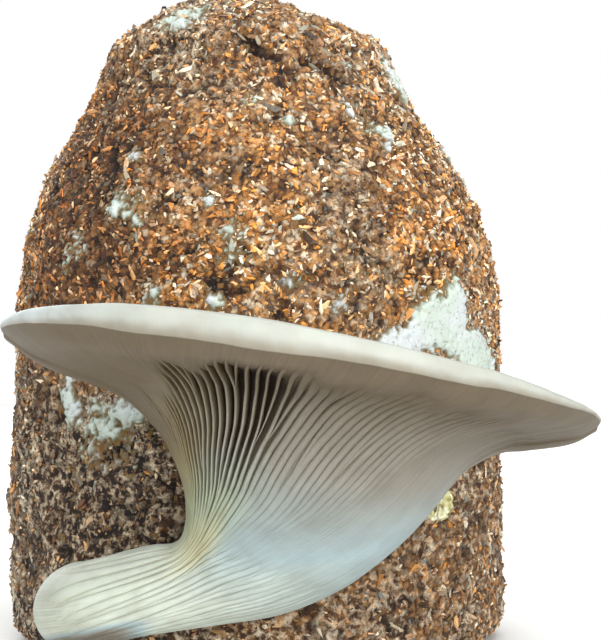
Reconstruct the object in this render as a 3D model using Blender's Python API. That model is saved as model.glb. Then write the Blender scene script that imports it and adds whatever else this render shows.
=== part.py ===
"""Oyster mushroom fruiting from a colonised sawdust block.

Three grown pieces stand together: the block, the one large mushroom whose stem leaves the block's
front left and whose cap sweeps across its front, and a small cluster of stunted pins on the right.
The origin is the middle of the block's flat base. +Z is up, and the cap faces -Y.
"""

import math

import bmesh
import bpy
from mathutils import Vector

MM = 0.001

# ---- driving dimensions, in millimetres ----
BLOCK_RADIUS = 55.5
BLOCK_HEIGHT = 145.0
BLOCK_SIDES = 56
GROWTH_GAP = 0.3  # kept between the block and what grows out of it
CAP_SIDES = 44
STEPS_PER_STATION = 2

# Block profile from the middle of the base to the middle of the top: share of the radius, share
# of the height. The bag it was packed in gave it straight sides and a shoulder below the neck.
BLOCK_PROFILE = (
    (0.90, 0.0),
    (0.985, 0.010),
    (1.020, 0.035),
    (1.025, 0.10),
    (1.015, 0.28),
    (1.0, 0.48),
    (0.990, 0.58),
    (0.955, 0.65),
    (0.890, 0.72),
    (0.785, 0.79),
    (0.680, 0.85),
    (0.610, 0.91),
    (0.560, 0.95),
    (0.420, 0.980),
    (0.210, 0.995),
)
NECK_LEAN = -3.0  # how far the top stands off the base's middle along X
LEAN_START = 0.55  # share of the height where the lean begins
# Waves round the block's skin: height, waves in a turn, millimetres up for each radian, phase.
SWELL_WAVES = (
    (0.70, 2, 31.0, 0.0),
    (0.50, 5, -13.0, 1.0),
    (0.35, 11, 9.0, 0.0),
)
SWELL_FADE = 12.0  # the waves grow from nothing over this height, so that the base is round
# Clods of the broken top: x, y, rise, radius.
TOP_CLODS = (
    (-14.0, -10.0, 3.0, 9.0),
    (2.0, -14.0, 2.8, 8.0),
    (-9.0, 12.0, 2.4, 11.0),
    (17.0, -6.0, -2.6, 10.0),
    (-26.0, -6.0, -1.6, 8.0),
    (14.0, 13.0, 1.6, 9.0),
)
TOP_START = 0.86  # share of the height where the clods begin
TOP_FADE = 0.10  # share of the height over which they grow

# Stations along the mushroom, from its root inside the block to the cap's margin. Each is a
# closed oval section: the inner and the outer end of its width as (x, z), the depth of its middle
# (y), how far it reaches to the front and to the back, the rise of its front, and the angle that
# its front is turned towards the block's left.
STATIONS = (
    # inner x, z,  outer x, z,     y, front, back, rise, turn
    (-34.0, 22.5, -34.5, 3.0, -37.0, 11.0, 9.5, 0.0, -80),
    (-35.5, 22.8, -35.5, 3.8, -47.0, 10.6, 9.0, 0.0, -62),
    (-32.0, 24.6, -31.5, 6.4, -56.0, 9.0, 8.5, 0.0, -30),
    (-21.0, 27.9, -20.0, 10.2, -63.0, 8.5, 8.5, 0.0, 0),
    (-15.4, 29.0, -7.0, 12.5, -66.0, 9.5, 9.0, 0.3, 0),
    (-13.2, 31.5, 7.0, 15.5, -69.0, 12.0, 10.0, 0.8, 0),
    (-12.6, 36.0, 18.5, 21.0, -72.0, 15.0, 11.0, 1.4, 0),
    (-13.0, 41.0, 27.8, 28.5, -76.0, 18.0, 13.5, 2.2, 0),
    (-14.5, 46.5, 34.5, 36.0, -79.0, 21.5, 15.0, 3.0, 0),
    (-17.5, 52.5, 41.0, 44.5, -82.0, 26.0, 17.0, 3.8, 0),
    (-24.0, 59.0, 48.0, 48.7, -84.0, 30.5, 19.5, 4.4, 0),
    (-32.0, 63.0, 55.0, 49.8, -86.0, 34.5, 22.0, 4.9, 0),
    (-40.5, 66.3, 61.5, 50.9, -87.0, 38.0, 25.0, 5.3, 0),
    (-45.7, 70.0, 65.3, 52.9, -87.0, 41.0, 27.0, 5.6, 0),
)
RISE_POWER = 0.7  # under 1, so that the margin rises soon after each tip
MARGIN_THICKNESS = 0.6  # of the cap's edge at its two tips
MARGIN_SWELL_FRONT = 4.4  # added at the middle of the front, where the edge rolls over
MARGIN_SWELL_BACK = 2.0
MARGIN_SWELL_POWER = 1.6
MARGIN_SKEW = 1.2  # makes the edge thicker towards the block's left
MARGIN_OVERHANG = 1.0
TIP_SHARPNESS = 0.5  # how quickly the overhang fades towards the two tips
MARGIN_WIDEST = 0.45  # share of the edge's thickness where it stands furthest out
CAP_EYE = (6.0, -76.0, 63.0)  # lowest point of the dished top
CAP_SHOULDER = 0.8  # how far the top crowns just inside its edge
SHOULDER_SPAN = 1 / 3  # share of the way to the eye that the crown takes
TOP_RINGS = (0.04, 0.12, 0.26, 0.44, 0.64, 0.84)

# Stunted pins: foot on the block's face as (angle from -Y towards +X, height), length, stem
# radius, cap radius, and tilt up from the face's normal, in degrees. The first row is the knot
# of tissue that they all grow from.
PINS = (
    (41.5, 34.6, 2.4, 3.2, 2.9, 0.0),
    (43.0, 34.8, 4.8, 1.6, 2.1, 2.0),
    (40.5, 36.0, 3.6, 1.4, 1.9, 14.0),
    (42.5, 33.2, 3.8, 1.3, 1.7, -8.0),
    (39.5, 33.8, 3.0, 1.5, 1.8, -6.0),
)
PIN_ROOT = 2.2  # how deep a pin starts under the face
PIN_FOOT = 1.01  # distance of a pin's foot from the block's axis, in block radii
PIN_SIDES = 14
# Outline of a pin: share of its length, share of the stem's radius, share of the head's radius.
PIN_OUTLINE = (
    (0.0, 1.25, 0.0),
    (0.35, 1.0, 0.0),
    (0.60, 0.92, 0.0),
    (0.74, 0.0, 0.92),
    (0.86, 0.0, 1.0),
    (0.96, 0.0, 0.6),
)


def clear_scene():
    for old in list(bpy.data.objects):
        bpy.data.objects.remove(old)


def smooth_between(rows, place):
    """The row of numbers at a place along rows, on a Catmull-Rom curve through them."""
    last = len(rows) - 1
    index = min(int(place), last - 1)
    t = place - index
    one, two = rows[index], rows[index + 1]
    before = rows[index - 1] if index else [2 * a - b for a, b in zip(one, two)]
    after = rows[index + 2] if index + 2 <= last else [2 * b - a for a, b in zip(one, two)]
    smooth = []
    for a, b, c, d in zip(before, one, two, after):
        bend = 2 * a - 5 * b + 4 * c - d
        twist = 3 * b - a - 3 * c + d
        smooth.append(b + 0.5 * ((c - a) * t + bend * t**2 + twist * t**3))
    return smooth


def places_along(rows):
    """Even places along a list of stations, STEPS_PER_STATION to each stretch."""
    count = (len(rows) - 1) * STEPS_PER_STATION
    return [step / STEPS_PER_STATION for step in range(count + 1)]


def block_swell(angle, z):
    """How far the packed sawdust stands out of its turned profile."""
    waves = sum(h * math.sin(turns * angle + z / pitch + phase) for h, turns, pitch, phase in SWELL_WAVES)
    return waves * min(1.0, z / SWELL_FADE)


def block_point(angle, share_r, share_z, grow=0.0):
    """A point of the block's skin, or of one grow millimetres outside it."""
    z = share_z * BLOCK_HEIGHT
    radius = share_r * BLOCK_RADIUS + block_swell(angle, z) + grow
    lean = NECK_LEAN * (max(0.0, share_z - LEAN_START) / (1 - LEAN_START)) ** 1.5
    x, y = lean + radius * math.cos(angle), radius * math.sin(angle)
    z += top_relief(x, y, share_z)
    return Vector((x, y, z)) * MM


def top_relief(x, y, share_z):
    """The broken top's clods, which fade out down the shoulder."""
    fade = max(0.0, min(1.0, (share_z - TOP_START) / TOP_FADE))
    rise = sum(h * math.exp(-((x - cx) ** 2 + (y - cy) ** 2) / size**2) for cx, cy, h, size in TOP_CLODS)
    return fade * rise


def skin(rings, start, end):
    """A closed bmesh over rings of equal count, each end drawn together on its middle point."""
    mesh = bmesh.new()
    loops = [[mesh.verts.new(point) for point in ring] for ring in rings]
    count = len(loops[0])
    edges = []
    for loop in loops:
        edges.append([mesh.edges.new((loop[i], loop[(i + 1) % count])) for i in range(count)])
    for lower, upper in zip(edges, edges[1:]):
        bmesh.ops.bridge_loops(mesh, edges=lower + upper)
    for loop, middle in ((loops[0], start), (loops[-1], end)):
        if middle is None:
            mesh.faces.new(loop)
            continue
        tip = mesh.verts.new(middle)
        for i in range(count):
            mesh.faces.new((loop[i], loop[(i + 1) % count], tip))
    bmesh.ops.recalc_face_normals(mesh, faces=mesh.faces)
    return mesh


def object_from(mesh, name, material=None):
    data = bpy.data.meshes.new(name)
    mesh.to_mesh(data)
    mesh.free()
    made = bpy.data.objects.new(name, data)
    bpy.context.scene.collection.objects.link(made)
    data.shade_smooth()
    if material:
        data.materials.append(material)
    return made


def plain_material(name, colour, roughness):
    material = bpy.data.materials.new(name)
    material.use_nodes = True
    shader = material.node_tree.nodes["Principled BSDF"]
    shader.inputs["Base Color"].default_value = (*colour, 1.0)
    shader.inputs["Roughness"].default_value = roughness
    shader.inputs["Metallic"].default_value = 0.0
    return material


def block_mesh(grow=0.0):
    angles = [2 * math.pi * i / BLOCK_SIDES for i in range(BLOCK_SIDES)]
    rings = []
    for place in places_along(BLOCK_PROFILE):
        share_r, share_z = smooth_between(BLOCK_PROFILE, place)
        share_z = max(0.0, share_z)
        rings.append([block_point(a, share_r, share_z, grow) for a in angles])
    return skin(rings, None, block_point(0.0, 0.0, 1.0, grow))


def section(place, angle):
    """A point of the mushroom's section at a place along STATIONS, in millimetres."""
    in_x, in_z, out_x, out_z, y, front, back, rise, turn = smooth_between(STATIONS, place)
    across, around = math.cos(angle), math.sin(angle)
    reach = (front if around > 0 else back) * around
    turned = math.radians(turn)
    lift = rise * math.copysign(abs(around) ** RISE_POWER, around)
    return Vector((
        (in_x + out_x) / 2 + (out_x - in_x) / 2 * across + reach * math.sin(turned),
        y - reach * math.cos(turned),
        (in_z + out_z) / 2 + (out_z - in_z) / 2 * across + lift,
    ))


def cap_edge(angle):
    """Thickness of the cap's edge, which swells between its two sharp tips."""
    around = math.sin(angle)
    swell = MARGIN_SWELL_FRONT if around > 0 else MARGIN_SWELL_BACK
    skew = -MARGIN_SKEW * math.cos(angle) * abs(around)
    return MARGIN_THICKNESS + swell * abs(around) ** MARGIN_SWELL_POWER + skew


def cap_top(angle, share):
    """A point of the cap's top, from its rolled edge at share 0 to the eye at share 1."""
    rim = section(len(STATIONS) - 1, angle)
    eye = Vector(CAP_EYE)
    point = rim.lerp(eye, share)
    high = rim.z + cap_edge(angle)
    dish = share * share * (3 - 2 * share)
    crown = CAP_SHOULDER * math.sin(math.pi * min(1.0, share / SHOULDER_SPAN))
    point.z = high + (eye.z - high) * dish + crown
    return point


def mushroom_mesh():
    angles = [2 * math.pi * i / CAP_SIDES for i in range(CAP_SIDES)]
    rings = [[section(place, a) * MM for a in angles] for place in places_along(STATIONS)]
    rim, middle = len(STATIONS) - 1, Vector(CAP_EYE)
    rolled = []
    for a in angles:
        edge = section(rim, a)
        outward = (edge - middle).to_2d().normalized() * MARGIN_OVERHANG * abs(math.sin(a)) ** TIP_SHARPNESS
        rolled.append((edge + Vector((*outward, cap_edge(a) * MARGIN_WIDEST))) * MM)
    rings.append(rolled)
    rings += [[cap_top(a, share) * MM for a in angles] for share in TOP_RINGS]
    root = section(0, 0.0).lerp(section(0, math.pi), 0.5) * MM
    return skin(rings, root, middle * MM)


def pin_mesh(angle_deg, height, length, stem, cap, tilt_deg):
    """One stunted pin: a short stem that swells into a round head, leaning off the face."""
    angle = math.radians(angle_deg)
    outward = Vector((math.sin(angle), -math.cos(angle), 0.0))
    foot = outward * BLOCK_RADIUS * PIN_FOOT
    foot.z = height
    tilt = math.radians(tilt_deg)
    axis = outward * math.cos(tilt) + Vector((0, 0, 1)) * math.sin(tilt)
    side = axis.cross(Vector((0, 0, 1))).normalized()
    up = side.cross(axis)
    start = foot - axis * PIN_ROOT
    whole = length + PIN_ROOT
    turn = [2 * math.pi * i / PIN_SIDES for i in range(PIN_SIDES)]
    rings = []
    for along, of_stem, of_cap in PIN_OUTLINE:
        radius = of_stem * stem + of_cap * cap
        middle = start + axis * along * whole
        rings.append([(middle + (side * math.cos(t) + up * math.sin(t)) * radius) * MM for t in turn])
    return skin(rings, start * MM, (start + axis * whole) * MM)


def boolean(target, other, operation):
    """Cuts or joins other on target. The other object stays as a hidden helper."""
    step = target.modifiers.new(operation.lower(), "BOOLEAN")
    step.operation = operation
    step.object = other
    other.hide_render = True
    other.display_type = "WIRE"


def build_block():
    bark_brown = plain_material("colonised_sawdust", (0.21, 0.095, 0.035), 0.9)
    object_from(block_mesh(), "substrate_block", bark_brown)


def build_mushroom(block_room):
    flesh = plain_material("mushroom_flesh", (0.62, 0.58, 0.50), 0.6)
    mushroom = object_from(mushroom_mesh(), "oyster_mushroom", flesh)
    boolean(mushroom, block_room, "DIFFERENCE")


def build_pins(block_room):
    pin_flesh = plain_material("pin_flesh", (0.60, 0.52, 0.24), 0.6)
    cluster = object_from(pin_mesh(*PINS[0]), "stunted_pin_cluster", pin_flesh)
    for index, row in enumerate(PINS[1:]):
        boolean(cluster, object_from(pin_mesh(*row), f"pin_helper_{index}"), "UNION")
    boolean(cluster, block_room, "DIFFERENCE")


def main():
    clear_scene()
    block_room = object_from(block_mesh(GROWTH_GAP), "block_room_helper")
    build_block()
    build_mushroom(block_room)
    build_pins(block_room)


main()
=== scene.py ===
"""Looks of an oyster mushroom fruiting from a colonised sawdust block.

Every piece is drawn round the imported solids. The block's skin, chips and mycelium lie on the faces
of its solid, and the mushroom's flesh and gills follow the stations of its own. Lengths are in
millimetres until a mesh is made. The origin is the middle of the block's base, +Z is up, and the
cap faces -Y. Angles round the block start at -Y and grow towards +X.
"""

import functools
import math

import bpy
import numpy as np
from bpy.props import FloatProperty, FloatVectorProperty, IntProperty, PointerProperty
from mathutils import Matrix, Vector, noise
from mathutils.bvhtree import BVHTree


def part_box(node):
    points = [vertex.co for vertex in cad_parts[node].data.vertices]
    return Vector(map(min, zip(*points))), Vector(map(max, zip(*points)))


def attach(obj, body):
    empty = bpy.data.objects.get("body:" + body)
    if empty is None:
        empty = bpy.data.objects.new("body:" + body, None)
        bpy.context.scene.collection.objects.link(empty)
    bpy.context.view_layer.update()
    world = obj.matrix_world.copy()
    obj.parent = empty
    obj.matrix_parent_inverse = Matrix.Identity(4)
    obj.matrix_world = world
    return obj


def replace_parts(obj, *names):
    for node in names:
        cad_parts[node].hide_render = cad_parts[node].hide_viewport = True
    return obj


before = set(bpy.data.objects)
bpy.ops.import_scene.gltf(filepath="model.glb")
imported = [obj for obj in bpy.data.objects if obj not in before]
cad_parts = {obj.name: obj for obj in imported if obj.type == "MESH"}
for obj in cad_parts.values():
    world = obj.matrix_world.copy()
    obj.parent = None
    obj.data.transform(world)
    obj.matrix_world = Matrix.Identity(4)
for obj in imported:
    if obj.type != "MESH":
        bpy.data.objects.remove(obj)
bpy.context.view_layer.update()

bl_info = {
    "name": "Oyster mushroom grow kit",
    "version": (1, 0, 0),
    "blender": (4, 5, 0),
    "location": "3D View > Sidebar > Grow Kit",
    "description": "Draws an oyster mushroom fruiting from a colonised sawdust block",
    "category": "Add Mesh",
}

MM = 0.001
BODY = "root"
BLOCK = "substrate_block"
MUSHROOM = "oyster_mushroom"
PINS = "stunted_pin_cluster"
SEED = 11

# ---- the block's skin ----
FAN_SHARE = 0.62  # share of the height up to which rays leave the axis level; above it they fan up
TOP_CLIMB = 1.999  # where the last ray leaves the axis: just short of straight up, which is 2
TRIAL_CLIMBS = 260
SKIN_ROWS = 176
SKIN_COLUMNS = 380
BASE_ROWS = 10
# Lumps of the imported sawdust: size across, height.
LUMPS = ((16.0, 0.55), (6.5, 0.65), (2.8, 0.75), (1.3, 0.45))
RELIEF_SINK = 0.95  # how far the sawdust between the chips lies under the solid's skin
PITTED_SHARE = 0.45  # share of the chips that is missing low on the block, where it is pitted
CREASE_SIZE = 9.0  # of the crumbs that the sawdust has clumped into
CREASE_DEPTH = 0.9
CREASE_WIDTH = 0.05  # in the noise that the creases follow
# Cracks between clods: angle and height at each end, depth, half width.
CRACKS = (
    ((-6.0, 134.5), (9.0, 129.0), 4.0, 1.0),
    ((17.0, 129.5), (37.0, 125.5), 3.2, 1.0),
    ((-24.0, 121.0), (-12.0, 124.5), 1.6, 0.8),
    ((150.0, 131.0), (178.0, 126.0), 3.5, 1.1),
    ((-120.0, 122.0), (-96.0, 128.0), 2.6, 0.9),
    ((70.0, 60.0), (74.0, 84.0), 1.3, 0.8),
    ((-20.5, 100.0), (-19.0, 83.0), 0.8, 0.5),
)
# Kinds of chip: sides, how many, length, width in lengths, thickness, steepest tilt in degrees.
CHIP_KINDS = {
    "flakes": (6, 3400, 2.8, 0.34, 0.34, 30.0),
    "chips": (5, 14600, 1.75, 0.38, 0.34, 38.0),
    "grains": (4, 18500, 1.05, 0.52, 0.40, 48.0),
}
# Where the wood has its own cast: angle, height, half width, half height, how golden, grey and wet.
WOOD_ZONES = (
    (4.0, 93.0, 9.0, 15.0, 0.9, 0.0, -0.3),
    (-11.0, 80.0, 11.0, 5.0, 0.8, -0.2, -0.1),
    (-4.0, 112.0, 14.0, 7.0, 0.4, 0.0, 0.1),
    (-8.0, 100.0, 7.0, 9.0, -0.3, 0.0, 0.2),
    (24.0, 94.0, 8.0, 14.0, -0.6, 0.6, 0.2),
    (40.0, 96.0, 9.0, 16.0, 0.7, -0.3, 0.0),
    (-34.0, 88.0, 13.0, 12.0, -0.3, -0.4, 0.9),
    (-55.0, 100.0, 14.0, 26.0, -0.1, 0.0, 1.4),
    (-27.0, 113.0, 12.0, 9.0, -0.2, 0.0, 0.6),
    (-30.0, 132.0, 14.0, 9.0, -0.5, 0.7, 0.1),
    (-6.0, 131.0, 9.0, 6.0, 0.5, -0.3, 0.4),
    (-45.0, 68.0, 10.0, 7.0, 0.1, -0.9, 1.0),
    (-38.0, 40.0, 22.0, 18.0, -0.3, 0.2, 0.65),
    (120.0, 95.0, 22.0, 20.0, 0.7, -0.2, 0.0),
    (170.0, 60.0, 25.0, 18.0, 0.6, -0.3, 0.3),
    (-125.0, 105.0, 22.0, 16.0, 0.6, -0.2, 0.4),
)
BARE_COVER = -0.55  # of the mycelium where none of its patches reach
# Where mycelium has felted over: angle, height, half width, half height, strength.
FELT_PATCHES = (
    (45.0, 72.5, 7.5, 5.6, 1.9),
    (52.0, 77.0, 3.2, 5.0, 1.6),
    (33.0, 68.0, 6.5, 3.2, 1.6),
    (57.0, 66.0, 6.0, 4.5, 1.5),
    (64.0, 62.0, 8.0, 9.0, 1.1),
    (39.3, 112.6, 4.2, 3.0, 1.0),
    (-35.0, 97.5, 2.2, 3.2, 1.1),
    (-29.5, 95.5, 4.8, 5.0, 0.72),
    (-23.0, 79.0, 3.0, 3.0, 0.75),
    (-2.0, 119.5, 2.4, 1.4, 0.8),
    (18.0, 76.5, 2.6, 2.4, 0.75),
    (32.0, 118.0, 3.4, 2.4, 0.85),
    (-33.0, 108.0, 2.0, 1.6, 0.9),
    (-9.8, 98.1, 1.7, 1.4, 1.3),
    (-7.0, 92.5, 3.6, 2.6, 0.62),
    (-3.5, 87.0, 3.2, 3.4, 0.62),
    (8.2, 81.0, 2.0, 1.8, 1.0),
    (-7.9, 77.3, 2.4, 1.8, 0.9),
    (10.0, 115.5, 2.2, 1.3, 1.0),
    (66.0, 127.0, 6.0, 7.0, 1.1),
    (-33.0, 139.5, 6.0, 4.0, 1.0),
    (-46.0, 88.5, 4.0, 4.5, 0.8),
    (-46.0, 58.0, 2.6, 6.0, 1.1),
    (-36.0, 53.0, 9.0, 4.0, 0.85),
    (-26.0, 54.5, 5.0, 3.4, 0.9),
    (-36.0, 45.0, 9.0, 6.5, 0.62),
    (118.0, 60.0, 14.0, 18.0, 1.0),
    (165.0, 92.0, 12.0, 9.0, 1.0),
    (-118.0, 74.0, 13.0, 14.0, 1.0),
    (-160.0, 38.0, 16.0, 10.0, 0.9),
    (92.0, 108.0, 8.0, 7.0, 0.9),
)

# ---- the mushroom's form, in the stations of its solid ----
# Places are stations: 0 at the root, 13 at the margin. Angles round them are 0 at the right, 90 at
# the front, 180 at the left and 270 at the back.
STATIONS = np.array((
    # inner x, z,  outer x, z,     y, front, back, rise, turn
    (-34.0, 22.5, -34.5, 3.0, -37.0, 11.0, 9.5, 0.0, -80.0),
    (-35.5, 22.8, -35.5, 3.8, -47.0, 10.6, 9.0, 0.0, -62.0),
    (-32.0, 24.6, -31.5, 6.4, -56.0, 9.0, 8.5, 0.0, -30.0),
    (-21.0, 27.9, -20.0, 10.2, -63.0, 8.5, 8.5, 0.0, 0.0),
    (-15.4, 29.0, -7.0, 12.5, -66.0, 9.5, 9.0, 0.3, 0.0),
    (-13.2, 31.5, 7.0, 15.5, -69.0, 12.0, 10.0, 0.8, 0.0),
    (-12.6, 36.0, 18.5, 21.0, -72.0, 15.0, 11.0, 1.4, 0.0),
    (-13.0, 41.0, 27.8, 28.5, -76.0, 18.0, 13.5, 2.2, 0.0),
    (-14.5, 46.5, 34.5, 36.0, -79.0, 21.5, 15.0, 3.0, 0.0),
    (-17.5, 52.5, 41.0, 44.5, -82.0, 26.0, 17.0, 3.8, 0.0),
    (-24.0, 59.0, 48.0, 48.7, -84.0, 30.5, 19.5, 4.4, 0.0),
    (-32.0, 63.0, 55.0, 49.8, -86.0, 34.5, 22.0, 4.9, 0.0),
    (-40.5, 66.3, 61.5, 50.9, -87.0, 38.0, 25.0, 5.3, 0.0),
    (-45.7, 70.0, 65.3, 52.9, -87.0, 41.0, 27.0, 5.6, 0.0),
))
MARGIN = len(STATIONS) - 1
RISE_POWER = 0.7
MARGIN_THICKNESS = 0.6
MARGIN_SWELL_FRONT = 4.4
MARGIN_SWELL_BACK = 2.0
MARGIN_SWELL_POWER = 1.6
MARGIN_SKEW = 1.2
MARGIN_OVERHANG = 1.0
TIP_SHARPNESS = 0.5
CAP_EYE = np.array((6.0, -76.0, 63.0))
CAP_SHOULDER = 0.8
SHOULDER_SPAN = 1 / 3
# How the gills swing round the stem at each station, in degrees: towards the stem's outer side,
# and towards the two tips of the cap.
GILL_SWING = (0, 1, 3, 8, 17, 24, 22, 15.5, 9, 3, -3, -6, -9, -11)
GILL_SPREAD = (0, 0, 0, 0, 0, -1, -6, -12, -16, -18, -18, -15, -12, -10)
# How far the gills stand off the flesh at each station, at their tallest.
GILL_REACH = (0.0, 0.1, 0.35, 0.45, 0.45, 0.45, 0.6, 1.0, 1.8, 2.8, 3.5, 3.6, 3.4, 3.0)
GILL_DEEPEST = 3.0  # the depth between gills that is stored as 1
BLADE_FULL = 0.49  # half the width of a low gill, as a share of its turn round the stem
BLADE_SLIMMING = 0.34  # how much of that a tall gill loses
BLADE_ROWS = 5.2  # rows of points for each station
# Ages of the gills in each run of six, and where a gill of each age parts: station and spread.
GILL_ORDER = (0, 2, 3, 1, 3, 2)
GILL_PARTING = ((2.0, 0.4), (3.4, 0.8), (5.2, 0.9), (8.4, 2.2))
GILLS_START = 1.4
GILLS_END = 12.7
# A gill's cross-section, from one foot over its edge to the other: how far out in half widths,
# and how far down in half widths or in heights, whichever is less.
GILL_PROFILE = (
    (-1.1, 9.0, 1.01),
    (-0.95, 0.95, 0.70),
    (-0.68, 0.25, 0.16),
    (0.0, 0.0, 0.0),
    (0.68, 0.25, 0.16),
    (0.95, 0.95, 0.70),
    (1.1, 9.0, 1.01),
)
FIBRES_PER_RADIAN = 110.0
FLESH_ROWS = 150
FLESH_COLUMNS = 384
ROLL_ROWS = 12
CAP_ROWS = 26
CAP_CROWDING = 1.25  # the rows of the cap's top lie closer together near its rim
CAP_LAST_ROW = 0.985  # as a share of the way from the rim to the eye
TOP_PLACE = 11.0  # the station that the cap's top is as uneven as
FIBRE_STEP = 0.005  # how far a station goes along the fibres, where a radian goes 1 across them
# Places on the flesh's colours, from 0 on the stem to 1 at the cap's eye.
BELLY_TONE = 0.14  # of the flesh low on the right, painted bluish and darker as its shadow side
GILL_TONE = 0.34
FOOT_SHADOW_TONE = 0.43  # of the painted shadow on the foot, where it rests on the block
UNDER_TONE = 0.55
FRINGE_TONE = 0.61
BAND_TONE = 0.66
CAP_TONE = 0.86  # where the cap's skin begins to turn to the colour of its eye
FRINGE_SHARE = 0.2  # share of the margin's height that its beaded lower edge takes
FRINGE_BEADS = 0.14

# ---- the stunted pins, as on their solid: angle and height of the foot, length, stem radius,
# head radius, tilt up from the face's normal in degrees, and how far the pin has dried out ----
PIN_PLACES = (
    (41.5, 34.6, 2.4, 3.2, 2.9, 0.0, 0.0),
    (43.0, 34.8, 4.8, 1.6, 2.1, 2.0, 1.0),
    (40.5, 36.0, 3.6, 1.4, 1.9, 14.0, 0.25),
    (42.5, 33.2, 3.8, 1.3, 1.7, -8.0, 0.35),
    (39.5, 33.8, 3.0, 1.5, 1.8, -6.0, 0.55),
)
PIN_ROOT = 2.2
PIN_SIDES = 40
PIN_ROWS = 30

WHITE = (1.0, 1.0, 1.0)
FIRST_COLOUR, SECOND_COLOUR, MIXED = 6, 7, 2  # sockets of a Mix node that mixes colours


def linear(code):
    """The linear colour of an sRGB hex code."""
    shares = [int(code[at : at + 2], 16) / 255 for at in (1, 3, 5)]
    return tuple(s / 12.92 if s <= 0.04045 else ((s + 0.055) / 1.055) ** 2.4 for s in shares)


def colour(name, code, about):
    """A colour setting that starts from an sRGB hex code."""
    return FloatVectorProperty(
        name=name, description=about, default=linear(code), min=0.0, max=1.0, subtype="COLOR"
    )


def length(name, millimetres, about):
    """A length setting that starts from a number of millimetres."""
    return FloatProperty(
        name=name, description=about, default=millimetres * MM, min=0.0, subtype="DISTANCE", unit="LENGTH"
    )


def number(name, default, about, **limits):
    """A setting that is a plain number."""
    return FloatProperty(name=name, description=about, default=default, **limits)


class SawdustSettings(bpy.types.PropertyGroup):
    chip_share: number(
        "Chip share", 1.0, "How many of the chips are laid", min=0.05, max=1.0, subtype="FACTOR"
    )
    chip_size: number("Chip size", 1.0, "Size of every chip, in times its usual size", min=0.3, max=2.0)
    felt_height: length("Felt height", 0.5, "How far the thickest mycelium stands off the sawdust")
    dark: colour("Dark chip", "#3a2110", "Wet heartwood and bark")
    brown: colour("Brown chip", "#996a3b", "Chips stained by the mushroom's juices")
    tan: colour("Tan chip", "#cba06c", "Weathered wood")
    golden: colour("Golden chip", "#d98f3a", "Sound wood, still damp")
    cream: colour("Cream chip", "#f8e9cd", "Dry sapwood")
    grey: colour("Grey chip", "#9c8a71", "Chips under a film of mycelium")
    felt: colour("Mycelium", "#b8c3b9", "Thick dry mycelium")
    film: colour("Mycelium film", "#c0c6c6", "Thin wet mycelium")


class OysterSettings(bpy.types.PropertyGroup):
    gill_count: IntProperty(
        name="Gills",
        description="How many gills there are under the cap",
        default=216,
        min=48,
        max=240,
        step=6,
    )
    stem: colour("Stem", "#d0d8cc", "Flesh of the stem")
    # Its bluish grey is partly painted shade, for the shadow side low on the right.
    belly: colour("Belly", "#abbfc4", "Flesh where the stem widens")
    gill: colour("Gills", "#8e8b82", "Edges of the gills")
    shade: colour("Under the cap", "#615543", "Flesh next to the margin, seen from below")
    fringe: colour("Fringe", "#a19e94", "The beaded lower edge of the margin")
    cap: colour("Cap", "#c4cdcd", "Skin of the cap near its margin")
    eye: colour("Cap's eye", "#a39c8f", "Skin of the cap over the stem")


class PinSettings(bpy.types.PropertyGroup):
    fresh: colour("Fresh pin", "#f6f4d8", "Live tissue of a stunted pin")
    green: colour("Green pin", "#d0cc98", "Tissue that is going over")
    olive: colour("Olive pin", "#9f945f", "Tissue that has begun to dry")
    dry: colour("Dry tip", "#4f3415", "The end of a pin that has dried out")


class StageSettings(bpy.types.PropertyGroup):
    floor: colour("Floor", "#f4f3f0", "The studio's matt floor")
    key_power: number(
        "Window light", 11.0, "Power of the soft light at the front right", min=0.0, unit="POWER"
    )
    top_power: number("Top light", 7.5, "Power of the lights overhead and behind", min=0.0, unit="POWER")
    room: number("Room light", 0.45, "Strength of the light from all round", min=0.0)


# ---- small tools ----


def noise_at(points, size, shift=0.0):
    """Smooth noise from -1 to 1 at points, with lumps about size across. The shift gives others."""
    moved = Vector((shift, 2 * shift, -shift))
    return np.array([noise.noise(Vector(point) / size + moved) for point in points])


def smooth_step(low, high, value):
    """A share that goes smoothly from 0 at low to 1 at high, either way up."""
    share = np.clip((value - low) / (high - low), 0.0, 1.0)
    return share * share * (3 - 2 * share)


def window(value, rise, full, fall, gone):
    """A share that rises from 0 at rise to 1 at full, and falls again from fall to gone."""
    return smooth_step(rise, full, value) * smooth_step(gone, fall, value)


def unit(vectors):
    return vectors / np.maximum(np.linalg.norm(vectors, axis=-1, keepdims=True), 1e-12)


def grid_faces(rows, columns, start=0, closed=True):
    """Quads over a grid of points in rows, whose last column meets its first if it is closed."""
    across = np.arange(columns if closed else columns - 1)
    row, column = np.meshgrid(np.arange(rows - 1), across, indexing="ij")
    low, beside = row * columns, (column + 1) % columns
    corners = (low + column, low + beside, low + columns + beside, low + columns + column)
    return np.stack(corners, -1).reshape(-1, 4) + start


def closed_faces(rows, columns, start=0):
    """The faces of a closed form: quads between its rings, and one face over each end."""
    faces = grid_faces(rows, columns, start).tolist()
    last = start + (rows - 1) * columns
    faces.append([last + column for column in range(columns)])
    faces.append([start + column for column in reversed(range(columns))])
    return faces


def new_piece(name, points, faces, material, smooth=True):
    """A mesh piece from points in metres, which rides on the block's body."""
    data = bpy.data.meshes.new(name)
    data.from_pydata(np.asarray(points).reshape(-1, 3).tolist(), [], faces)
    data.validate()
    data.materials.append(material)
    if smooth:
        data.shade_smooth()
    piece = bpy.data.objects.new(name, data)
    bpy.context.scene.collection.objects.link(piece)
    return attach(piece, BODY)


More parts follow.
